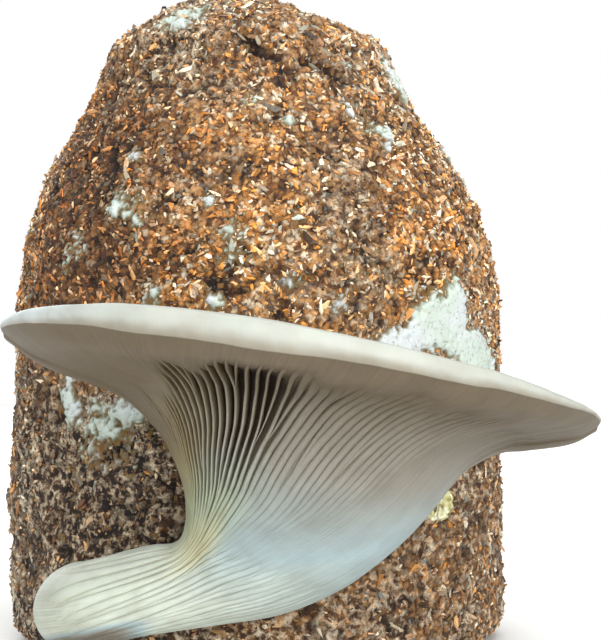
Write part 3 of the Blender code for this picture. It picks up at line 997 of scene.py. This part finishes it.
def pin_rings(angle, height, long, stem, head, tilt, dryness):
    """Rings of points along one pin, and how dry each point is, with painted shade in its grooves:
    most dry on the head's right side.
    """
    angle, tilt = math.radians(angle), math.radians(tilt)
    outward = np.array((math.sin(angle), -math.cos(angle), 0.0))
    axis = outward * math.cos(tilt) + np.array((0.0, 0.0, math.sin(tilt)))
    side = np.cross(axis, (0.0, 0.0, 1.0))
    side /= np.linalg.norm(side)
    up = np.cross(side, axis)
    foot = np.array(block_tree().ray_cast(Vector((0.0, 0.0, height)), Vector(outward))[0])
    turn = np.linspace(0, 2 * np.pi, PIN_SIDES, endpoint=False)
    share = np.linspace(0.0, 1.0, PIN_ROWS)[:, None]
    stalk = stem * (1.2 - 0.35 * share) * smooth_step(0.95, 0.8, share)
    ball = head * np.sqrt(np.clip(1.0 - ((share - 0.79) / 0.21) ** 2, 0.0, 1.0))
    folds = np.stack(np.broadcast_arrays(np.cos(turn) * 2.2, np.sin(turn) * 2.2, share * 1.2 + height), -1)
    ribs = 2.0 * noise_at(folds.reshape(-1, 3), 1.0, 6.0).reshape(PIN_ROWS, PIN_SIDES)
    radius = (stalk**3 + ball**3) ** (1 / 3) * (0.95 + 0.08 * ribs)
    blunt = 0.05 * smooth_step(0.5, 0.0, radius / head) * (share > 0.9)
    along = -PIN_ROOT + (long + PIN_ROOT) * (share - blunt)
    ring = side * np.cos(turn)[None, :, None] + up * np.sin(turn)[None, :, None]
    points = foot + axis * along[..., None] + ring * radius[..., None]
    flat = points.reshape(-1, 3)
    lumps = 0.30 * noise_at(flat, 1.5, 4.0) + 0.12 * noise_at(flat, 0.6, 8.0)
    flat = flat + (ring * np.ones_like(radius)[..., None]).reshape(-1, 3) * lumps[:, None]
    # The grooves between the ribs count as drier, so they are painted darker: painted shade in the
    # creases, on top of the real drying at the tip.
    dry = dryness * smooth_step(0.60, 1.0, share) * (1.0 - 0.5 * ribs) - 0.10 * ribs
    dry = dry * (0.25 + 0.75 * smooth_step(0.2, -0.8, np.cos(turn)))
    return flat, dry.ravel() + 0.30 * noise_at(flat, 1.1, 2.0)


def build_pins(settings):
    """The stunted pins: ribbed stems with small heads, the longest one dried brown at its right."""
    points, faces, dryness = [], [], []
    for index, row in enumerate(PIN_PLACES):
        flat, dry = pin_rings(*row)
        points.append(flat)
        dryness.append(dry)
        faces += closed_faces(PIN_ROWS, PIN_SIDES, index * PIN_ROWS * PIN_SIDES)
    piece = new_piece("stunted_pins", np.concatenate(points) * MM, faces, pin_material(settings))
    store(piece, "dry", np.clip(np.concatenate(dryness), 0.0, 1.0))
    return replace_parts(piece, PINS)


# ---- materials ----


def packed_sawdust_material(settings):
    """Fine hardwood sawdust and bran, soaked and packed: matt crumbs of mixed wood, with painted shade
    in the pits and hollows between them.
    """
    material, tree, shader = new_material("packed_hardwood_sawdust", Roughness=0.8, IOR=1.45)
    gold, veil, hollow_shade, wet = (
        add_node(tree, "ShaderNodeAttribute", attribute_name=name).outputs["Fac"]
        for name in ("gold", "veil", "hollow_shade", "wet")
    )
    place = add_node(tree, "ShaderNodeTexCoord").outputs["Object"]
    bend = add_node(tree, "ShaderNodeTexNoise", {"Vector": place, "Scale": per_mm(1.3), "Detail": 3.0})
    pull = {0: bend.outputs["Color"], "Scale": 2.2 * MM}
    pulled = add_node(tree, "ShaderNodeVectorMath", pull, operation="SCALE").outputs[0]
    bent = add_node(tree, "ShaderNodeVectorMath", {0: place, 1: pulled}, operation="ADD").outputs[0]
    crumb = add_node(tree, "ShaderNodeTexVoronoi", {"Vector": bent, "Scale": per_mm(1.3)})
    kind = add_node(tree, "ShaderNodeSeparateColor", {"Color": crumb.outputs["Color"]}).outputs["Red"]
    grit = {"Vector": place, "Scale": per_mm(2.0), "Detail": 5.0, "Roughness": 0.7}
    speck = add_node(tree, "ShaderNodeTexNoise", grit).outputs["Fac"]
    dark, brown, tan, cream = settings.dark, settings.brown, settings.tan, settings.cream
    dull = ((0.0, dark), (0.30, brown), (0.60, tan), (0.85, brown), (1.0, cream))
    rich = ((0.0, dark), (0.20, brown), (0.45, settings.golden), (0.8, tan), (1.0, cream))
    # Painted shade: near black where the speckle is lowest, for the shaded pits between the grey strands.
    pit_shade = (0.012, 0.006, 0.003)
    greyed = ((0.40, pit_shade), (0.48, dark), (0.53, settings.grey), (0.66, cream))
    wood = add_node(tree, "ShaderNodeValToRGB", {"Fac": kind}, dull).outputs["Color"]
    coats = (
        (gold, "MIX", kind, rich),
        # Painted shade: each crumb is darker towards its edge, for the gaps between the crumbs.
        (1.0, "MULTIPLY", crumb.outputs["Distance"], ((0.30, WHITE), (0.75, (0.22, 0.16, 0.12)))),
        (veil, "MIX", speck, greyed),
        # Painted shade in the hollows of the relief.
        (1.0, "MULTIPLY", hollow_shade, ((0.0, WHITE), (1.0, (0.10, 0.07, 0.05)))),
        (1.0, "MULTIPLY", wet, ((0.0, WHITE), (1.0, (0.42, 0.36, 0.30)))),
    )
    relief = {"Height": speck, "Strength": 1.0, "Distance": 0.9 * MM}
    bump = add_node(tree, "ShaderNodeBump", relief).outputs["Normal"]
    set_inputs(tree, shader, {"Base Color": lay_coats(tree, wood, coats), "Normal": bump})
    return material


@functools.cache
def wood_chip_material():
    """Hammer-milled hardwood, soaked: torn fibres with a damp glint here and there."""
    material, tree, shader = new_material("soaked_hardwood_chip", IOR=1.5)
    tone = add_node(tree, "ShaderNodeAttribute", attribute_name="chip_colour").outputs["Color"]
    flat = add_node(tree, "ShaderNodeUVMap", uv_map="Grain").outputs["UV"]
    # Wood fibres are far finer than this. They are drawn 0.2 mm apart, so that they show.
    stretch = {"Vector": flat, "Scale": (0.9, 5.0, 1.0)}
    lengthwise = add_node(tree, "ShaderNodeMapping", stretch).outputs["Vector"]
    grain = {"Vector": lengthwise, "Scale": 1.0, "Detail": 3.0}
    fibre = add_node(tree, "ShaderNodeTexNoise", grain).outputs["Fac"]
    damp = add_node(tree, "ShaderNodeMapRange", {"Value": fibre, "To Min": 0.30, "To Max": 0.75})
    streaks = (1.0, "MULTIPLY", fibre, ((0.30, (0.45, 0.40, 0.36)), (0.52, WHITE)))
    relief = {"Height": fibre, "Strength": 0.5, "Distance": 0.2 * MM}
    bump = add_node(tree, "ShaderNodeBump", relief).outputs["Normal"]
    surface = {"Base Color": lay_coats(tree, tone, [streaks]), "Roughness": damp.outputs["Result"]}
    set_inputs(tree, shader, {**surface, "Normal": bump})
    return material


def felt_material(settings):
    """Oyster mycelium, dried to a skin where it is thick: chalky white with a tow-like fuzz."""
    material, tree, shader = new_material(
        "mycelium_felt", Roughness=0.9, IOR=1.4, Subsurface_Weight=0.15, Subsurface_Scale=0.6 * MM
    )
    cover = add_node(tree, "ShaderNodeAttribute", attribute_name="cover").outputs["Fac"]
    place = add_node(tree, "ShaderNodeTexCoord").outputs["Object"]
    fuzz, cloud = (
        add_node(tree, "ShaderNodeTexNoise", {"Vector": place, "Scale": per_mm(size), "Detail": detail})
        for size, detail in ((0.7, 5.0), (9.0, 2.0))
    )
    tints = ((0.42, settings.film), (0.56, settings.felt))
    tint = add_node(tree, "ShaderNodeValToRGB", {"Fac": cloud.outputs["Fac"]}, tints).outputs["Color"]
    coats = (
        (1.0, "MULTIPLY", cover, ((0.0, settings.brown), (0.22, settings.grey), (0.6, WHITE))),
        # Painted shade in the fuzz: darker where the fuzz noise is low, where its bump is lowest too.
        (1.0, "MULTIPLY", fuzz.outputs["Fac"], ((0.30, (0.62, 0.58, 0.52)), (0.46, WHITE))),
    )
    relief = {"Height": fuzz.outputs["Fac"], "Strength": 0.5, "Distance": 0.3 * MM}
    bump = add_node(tree, "ShaderNodeBump", relief).outputs["Normal"]
    set_inputs(tree, shader, {"Base Color": lay_coats(tree, tint, coats), "Normal": bump})
    return material


def oyster_material(name, settings, strength):
    """Fresh oyster flesh: satin and faintly see-through, with fine fibres that run with the gills."""
    material, tree, shader = new_material(
        name,
        Roughness=0.52,
        IOR=1.4,
        Subsurface_Weight=0.18,
        Subsurface_Radius=(1.0, 0.7, 0.5),
        Subsurface_Scale=1.2 * MM,
    )
    tone, depth, stain = (
        add_node(tree, "ShaderNodeAttribute", attribute_name=name).outputs["Fac"]
        for name in ("tone", "depth", "stain")
    )
    along = add_node(tree, "ShaderNodeAttribute", attribute_name="fibre").outputs["Vector"]
    # These lumps are 1/110 of a radian round the flesh: 0.1 mm on the stem and 0.5 mm at the
    # margin. Real fibres are finer than that, and would not show.
    fine = {"Vector": along, "Scale": FIBRES_PER_RADIAN, "Detail": 4.0}
    fibre = add_node(tree, "ShaderNodeTexNoise", fine).outputs["Fac"]
    ends = {"From Min": UNDER_TONE, "From Max": FRINGE_TONE, "To Min": 1.0, "To Max": 0.12}
    bare = add_node(tree, "ShaderNodeMapRange", {"Value": tone, **ends}).outputs["Result"]
    height = add_node(tree, "ShaderNodeMath", {0: fibre, 1: bare}, operation="MULTIPLY")
    place = add_node(tree, "ShaderNodeTexCoord").outputs["Object"]
    cloud = add_node(tree, "ShaderNodeTexNoise", {"Vector": place, "Scale": per_mm(7.0), "Detail": 4.0})
    tones = (
        (0.0, settings.stem),
        (BELLY_TONE, settings.belly),
        (GILL_TONE, settings.gill),
        (UNDER_TONE - 0.02, settings.shade),
        (UNDER_TONE + 0.02, settings.shade),
        (FRINGE_TONE, settings.fringe),
        (BAND_TONE, settings.cap),
        (CAP_TONE, settings.cap),
        (1.0, settings.eye),
    )
    flesh = add_node(tree, "ShaderNodeValToRGB", {"Fac": tone}, tones).outputs["Color"]
    # Painted shade between the gills: the deeper a point lies between them, the darker and browner it is
    # painted; a little of that is the roots' own darker tissue. Over the margin the same coat paints the
    # shade of the band.
    shallow, half_way, deep = (0.74, 0.71, 0.65), (0.72, 0.62, 0.49), (0.19, 0.11, 0.06)
    coats = (
        (1.0, "MULTIPLY", depth, ((0.0, WHITE), (0.08, shallow), (0.30, half_way), (0.75, deep))),
        (1.0, "MULTIPLY", stain, ((0.0, WHITE), (1.0, (0.88, 0.76, 0.46)))),
        (bare, "MULTIPLY", fibre, ((0.32, (0.88, 0.86, 0.83)), (0.56, WHITE))),
        (1.0, "MULTIPLY", cloud.outputs["Fac"], ((0.35, (0.88, 0.87, 0.86)), (0.60, WHITE))),
    )
    relief = {"Height": height.outputs["Value"], "Strength": strength, "Distance": 0.25 * MM}
    bump = add_node(tree, "ShaderNodeBump", relief).outputs["Normal"]
    set_inputs(tree, shader, {"Base Color": lay_coats(tree, flesh, coats), "Normal": bump})
    return material


def pin_material(settings):
    """Stunted oyster pins: waxy yellow-green flesh that has dried to brown leather at the tips."""
    material, tree, shader = new_material(
        "dried_oyster_pin", Roughness=0.5, IOR=1.4, Subsurface_Weight=0.15, Subsurface_Scale=0.8 * MM
    )
    dry = add_node(tree, "ShaderNodeAttribute", attribute_name="dry").outputs["Fac"]
    place = add_node(tree, "ShaderNodeTexCoord").outputs["Object"]
    folds = {"Vector": place, "Scale": per_mm(0.7), "Detail": 4.0}
    wrinkle = add_node(tree, "ShaderNodeTexNoise", folds).outputs["Fac"]
    tones = ((0.0, settings.fresh), (0.16, settings.green), (0.42, settings.olive), (0.75, settings.dry))
    flesh = add_node(tree, "ShaderNodeValToRGB", {"Fac": dry}, tones).outputs["Color"]
    # Painted shade in the wrinkles: darker where the wrinkle noise is low, where the bump is lowest too.
    crease_shade = (1.0, "MULTIPLY", wrinkle, ((0.35, (0.55, 0.52, 0.38)), (0.58, WHITE)))
    relief = {"Height": wrinkle, "Strength": 0.7, "Distance": 0.3 * MM}
    bump = add_node(tree, "ShaderNodeBump", relief).outputs["Normal"]
    set_inputs(tree, shader, {"Base Color": lay_coats(tree, flesh, [crease_shade]), "Normal": bump})
    return material


# ---- operators ----


class GROWKIT_OT_block_skin(bpy.types.Operator):
    """Pack the fine sawdust of the block, with its lumps and cracks"""

    bl_idname = "growkit.block_skin"
    bl_label = "Pack the sawdust"

    def execute(self, context):
        build_block_skin(context.scene.growkit_sawdust)
        return {"FINISHED"}


class GROWKIT_OT_chips(bpy.types.Operator):
    """Press flakes, chips and grains of wood into the block's skin"""

    bl_idname = "growkit.chips"
    bl_label = "Press in the chips"

    def execute(self, context):
        rng = np.random.default_rng(SEED)
        for kind in CHIP_KINDS:
            lay_chips(kind, context.scene.growkit_sawdust, rng)
        return {"FINISHED"}


class GROWKIT_OT_felt(bpy.types.Operator):
    """Grow the white mycelium over the sawdust"""

    bl_idname = "growkit.felt"
    bl_label = "Grow the mycelium"

    def execute(self, context):
        build_felt(context.scene.growkit_sawdust)
        return {"FINISHED"}


class GROWKIT_OT_flesh(bpy.types.Operator):
    """Grow the mushroom's stem and cap"""

    bl_idname = "growkit.flesh"
    bl_label = "Grow the stem and cap"

    def execute(self, context):
        build_flesh(context.scene.growkit_oyster)
        return {"FINISHED"}


class GROWKIT_OT_gills(bpy.types.Operator):
    """Hang the gills that run down the stem"""

    bl_idname = "growkit.gills"
    bl_label = "Hang the gills"

    def execute(self, context):
        build_gills(context.scene.growkit_oyster, np.random.default_rng(SEED + 1))
        return {"FINISHED"}


class GROWKIT_OT_pins(bpy.types.Operator):
    """Grow the stunted pins beside the stem"""

    bl_idname = "growkit.pins"
    bl_label = "Grow the stunted pins"

    def execute(self, context):
        build_pins(context.scene.growkit_pins)
        return {"FINISHED"}


class GROWKIT_OT_stage(bpy.types.Operator):
    """Set the floor, the soft lights and the camera"""

    bl_idname = "growkit.stage"
    bl_label = "Set the stage"

    def execute(self, context):
        build_stage(context.scene.growkit_stage)
        return {"FINISHED"}


# ---- stage ----

CAMERA_PLACE = (0.0098, -0.450, 0.073)
SENSOR = 36.0  # millimetres along the longer side of the view
FOCAL = 109.2
FLOOR_HALF = 3.0
FLOOR_GAP = 0.2 * MM  # between the floor and the block's base, so that they don't share a plane
LIT_MIDDLE = Vector((0.0, -0.04, 0.07))
GLOW_START, GLOW_FULL, GLOW_STRENGTH = 0.3, 1.6, 0.75  # of the paper: metres out, and strength


def build_room(settings):
    """Even light from all round, which the camera sees as a white backdrop."""
    world = bpy.data.worlds.new("room")
    world.use_nodes = True
    bpy.context.scene.world = world
    tree = world.node_tree
    sky = tree.nodes["Background"]
    set_inputs(tree, sky, {"Color": (0.93, 0.97, 1.0, 1.0), "Strength": settings.room})
    backdrop = add_node(tree, "ShaderNodeBackground", {"Color": (*WHITE, 1.0)}).outputs["Background"]
    seen = add_node(tree, "ShaderNodeLightPath").outputs["Is Camera Ray"]
    shown = {"Fac": seen, 1: sky.outputs["Background"], 2: backdrop}
    choice = add_node(tree, "ShaderNodeMixShader", shown).outputs["Shader"]
    set_inputs(tree, tree.nodes["World Output"], {"Surface": choice})


def soft_light(name, place, size, power, tint):
    """A square light that faces the middle of the object."""
    lamp = bpy.data.lights.new(name, "AREA")
    lamp.size, lamp.energy, lamp.color = size, power, tint
    holder = bpy.data.objects.new(name, lamp)
    bpy.context.scene.collection.objects.link(holder)
    holder.location = place
    holder.rotation_euler = (LIT_MIDDLE - Vector(place)).to_track_quat("-Z", "Y").to_euler()


def paper_material(settings):
    """Matt white paper, lit from below further out, so that it runs into the backdrop."""
    paper = (*settings.floor, 1.0)
    material, tree, shader = new_material(
        "matt_paper", Roughness=0.9, Base_Color=paper, Emission_Color=paper
    )
    place = add_node(tree, "ShaderNodeTexCoord").outputs["Object"]
    away = add_node(tree, "ShaderNodeVectorMath", {0: place}, operation="LENGTH").outputs["Value"]
    ends = {"From Min": GLOW_START, "From Max": GLOW_FULL, "To Max": GLOW_STRENGTH}
    glow = add_node(tree, "ShaderNodeMapRange", {"Value": away, **ends}).outputs["Result"]
    set_inputs(tree, shader, {"Emission Strength": glow})
    return material


def build_stage(settings):
    """The paper floor, the soft lights and the camera, which looks level along +Y."""
    scene = bpy.context.scene
    data = bpy.data.meshes.new("studio_floor")
    corners = [(x * FLOOR_HALF, y * FLOOR_HALF, 0) for x, y in ((-1, -1), (1, -1), (1, 1), (-1, 1))]
    data.from_pydata(corners, [], [(0, 1, 2, 3)])
    floor = bpy.data.objects.new("studio_floor", data)
    scene.collection.objects.link(floor)
    floor.location.z = -FLOOR_GAP
    data.materials.append(paper_material(settings))

    build_room(settings)
    soft_light("window", (0.26, -1.02, 0.26), 0.6, settings.key_power, (1.0, 0.99, 0.98))
    soft_light("ceiling", (0.05, -0.35, 0.95), 0.8, settings.top_power, (0.95, 0.98, 1.0))
    soft_light("back", (-0.4, 0.9, 0.5), 0.8, settings.top_power, (1.0, 1.0, 1.0))

    camera = bpy.data.cameras.new("camera")
    camera.sensor_width = SENSOR
    camera.lens = FOCAL
    camera.clip_start = 0.01
    eye = bpy.data.objects.new("camera", camera)
    scene.collection.objects.link(eye)
    eye.location = CAMERA_PLACE
    eye.rotation_euler = (math.pi / 2, 0.0, 0.0)
    scene.camera = eye
    scene.view_settings.view_transform = "Standard"


class GROWKIT_PT_panel(bpy.types.Panel):
    """Lists the settings of each piece with the steps that make it"""

    bl_idname = "GROWKIT_PT_panel"
    bl_label = "Oyster grow kit"
    bl_space_type = "VIEW_3D"
    bl_region_type = "UI"
    bl_category = "Grow Kit"

    def draw(self, context):
        scene = context.scene
        for group, operators in (
            (scene.growkit_sawdust, ("growkit.block_skin", "growkit.chips", "growkit.felt")),
            (scene.growkit_oyster, ("growkit.flesh", "growkit.gills")),
            (scene.growkit_pins, ("growkit.pins",)),
            (scene.growkit_stage, ("growkit.stage",)),
        ):
            box = self.layout.box()
            for name in group.__annotations__:
                box.prop(group, name)
            for operator in operators:
                box.operator(operator)


SETTINGS = {
    "growkit_sawdust": SawdustSettings,
    "growkit_oyster": OysterSettings,
    "growkit_pins": PinSettings,
    "growkit_stage": StageSettings,
}
OPERATORS = (
    GROWKIT_OT_block_skin,
    GROWKIT_OT_chips,
    GROWKIT_OT_felt,
    GROWKIT_OT_flesh,
    GROWKIT_OT_gills,
    GROWKIT_OT_pins,
    GROWKIT_OT_stage,
)


def register():
    for made in (*SETTINGS.values(), *OPERATORS, GROWKIT_PT_panel):
        bpy.utils.register_class(made)
    for name, group in SETTINGS.items():
        setattr(bpy.types.Scene, name, PointerProperty(type=group))


def unregister():
    for name in SETTINGS:
        delattr(bpy.types.Scene, name)
    for made in reversed((*SETTINGS.values(), *OPERATORS, GROWKIT_PT_panel)):
        bpy.utils.unregister_class(made)


def main():
    """Makes every piece in order."""
    register()
    bpy.ops.growkit.block_skin()
    bpy.ops.growkit.chips()
    bpy.ops.growkit.felt()
    bpy.ops.growkit.flesh()
    bpy.ops.growkit.gills()
    bpy.ops.growkit.pins()
    bpy.ops.growkit.stage()


if __name__ == "__main__":
    main()
